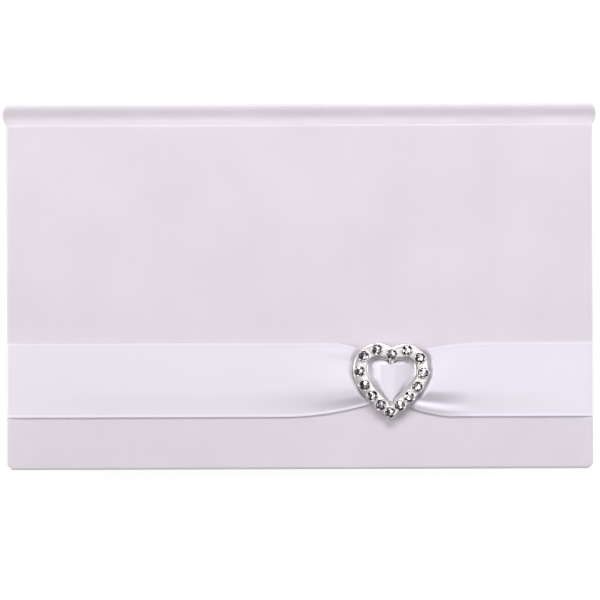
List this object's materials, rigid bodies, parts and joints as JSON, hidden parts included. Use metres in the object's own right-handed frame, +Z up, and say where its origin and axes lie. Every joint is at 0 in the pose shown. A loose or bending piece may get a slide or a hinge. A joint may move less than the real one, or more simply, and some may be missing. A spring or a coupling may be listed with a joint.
{
  "type": "wedding guest book",
  "caption": "Landscape case-bound guest book in pearl satin with a ribbon across the front cover, gathered by a heart-shaped rhinestone slider; both joints open and the leaves turn.",
  "frame": {"origin": "centre of the closed book's footprint, on the surface that the back cover lies on", "axes": "+X along the spine, +Y towards the spine, +Z up through the front cover"},
  "size_m": [0.2006, 0.1234, 0.0192],
  "materials": {
    "cover_satin": "pearl satin on paper",
    "greyboard": "raw greyboard",
    "kraft_paper": "matte",
    "gauze": "open weave",
    "binding_glue": "dried",
    "leaf_paper": "smooth uncoated",
    "headband_cotton": "ribbed",
    "ribbon_satin": "double-faced satin",
    "slider_metal": "bright plated casting",
    "rhinestone": "foiled, faceted"
  },
  "bodies": {
    "back_cover": {"back_board": "greyboard", "back_cover_wrap": "cover_satin", "back_pastedown": "leaf_paper", "back_flyleaf": "leaf_paper", "back_leaves": "leaf_paper"},
    "spine": {"spine_strip": "greyboard", "spine_wrap": "cover_satin", "kraft_lining": "kraft_paper", "gauze_lining": "gauze", "binding_glue": "binding_glue", "headband_left": "headband_cotton", "headband_right": "headband_cotton", "back_joint_cloth": "cover_satin", "front_joint_cloth": "cover_satin"},
    "front_cover": {"front_board": "greyboard", "front_cover_wrap": "cover_satin", "front_pastedown": "leaf_paper", "front_flyleaf": "leaf_paper", "front_leaves": "leaf_paper", "ribbon_left": "ribbon_satin", "ribbon_right": "ribbon_satin"},
    "heart_slider": {"heart_frame": "slider_metal", "ribbon_gather": "ribbon_satin", "rhinestone_01": "rhinestone", "rhinestone_02": "rhinestone", "rhinestone_03": "rhinestone", "rhinestone_04": "rhinestone", "rhinestone_05": "rhinestone", "rhinestone_06": "rhinestone", "rhinestone_07": "rhinestone", "rhinestone_08": "rhinestone", "rhinestone_09": "rhinestone", "rhinestone_10": "rhinestone", "rhinestone_11": "rhinestone", "rhinestone_12": "rhinestone", "rhinestone_13": "rhinestone", "rhinestone_14": "rhinestone"},
    "leaf_1": {"leaf_1": "leaf_paper"},
    "leaf_2": {"leaf_2": "leaf_paper"},
    "leaf_3": {"leaf_3": "leaf_paper"},
    "leaf_4": {"leaf_4": "leaf_paper"},
    "leaf_5": {"leaf_5": "leaf_paper"},
    "leaf_6": {"leaf_6": "leaf_paper"},
    "leaf_7": {"leaf_7": "leaf_paper"},
    "leaf_8": {"leaf_8": "leaf_paper"}
  },
  "joints": [
    {"name": "spine_hinge", "type": "hinge", "parent": "back_cover", "child": "spine", "pos_m": [0, 0.05925, 0.0028], "axis": [-1, 0, 0], "range_deg": [0, 90], "deforming": ["back_joint_cloth"]},
    {"name": "front_cover_hinge", "type": "hinge", "parent": "spine", "child": "front_cover", "pos_m": [0, 0.05925, 0.01335], "axis": [-1, 0, 0], "range_deg": [0, 87.5], "deforming": ["front_joint_cloth"]},
    {"name": "heart_slide", "type": "slide", "parent": "front_cover", "child": "heart_slider", "axis": [1, 0, 0], "range_m": [-0.012, 0.012], "deforming": ["ribbon_gather"]},
    {"name": "leaf_1_turn", "type": "hinge", "parent": "spine", "child": "leaf_1", "pos_m": [0, 0.05925, 0.0072], "axis": [-1, 0, 0], "range_deg": [-39.6, 0]},
    {"name": "leaf_2_turn", "type": "hinge", "parent": "spine", "child": "leaf_2", "pos_m": [0, 0.05925, 0.00745], "axis": [-1, 0, 0], "range_deg": [-27.9, 0]},
    {"name": "leaf_3_turn", "type": "hinge", "parent": "spine", "child": "leaf_3", "pos_m": [0, 0.05925, 0.0077], "axis": [-1, 0, 0], "range_deg": [-16.2, 0]},
    {"name": "leaf_4_turn", "type": "hinge", "parent": "spine", "child": "leaf_4", "pos_m": [0, 0.05925, 0.00795], "axis": [-1, 0, 0], "range_deg": [-5.4, 0]},
    {"name": "leaf_5_turn", "type": "hinge", "parent": "spine", "child": "leaf_5", "pos_m": [0, 0.05925, 0.0082], "axis": [-1, 0, 0], "range_deg": [0, 5.25]},
    {"name": "leaf_6_turn", "type": "hinge", "parent": "spine", "child": "leaf_6", "pos_m": [0, 0.05925, 0.00845], "axis": [-1, 0, 0], "range_deg": [0, 15.75]},
    {"name": "leaf_7_turn", "type": "hinge", "parent": "spine", "child": "leaf_7", "pos_m": [0, 0.05925, 0.0087], "axis": [-1, 0, 0], "range_deg": [0, 27.12]},
    {"name": "leaf_8_turn", "type": "hinge", "parent": "spine", "child": "leaf_8", "pos_m": [0, 0.05925, 0.00895], "axis": [-1, 0, 0], "range_deg": [0, 38.5]}
  ],
  "couplings": [
    {"joint": "leaf_1_turn", "follows": "spine_hinge", "ratio": -0.44},
    {"joint": "leaf_2_turn", "follows": "spine_hinge", "ratio": -0.31},
    {"joint": "leaf_3_turn", "follows": "spine_hinge", "ratio": -0.18},
    {"joint": "leaf_4_turn", "follows": "spine_hinge", "ratio": -0.06},
    {"joint": "leaf_5_turn", "follows": "front_cover_hinge", "ratio": 0.06},
    {"joint": "leaf_6_turn", "follows": "front_cover_hinge", "ratio": 0.18},
    {"joint": "leaf_7_turn", "follows": "front_cover_hinge", "ratio": 0.31},
    {"joint": "leaf_8_turn", "follows": "front_cover_hinge", "ratio": 0.44}
  ]
}
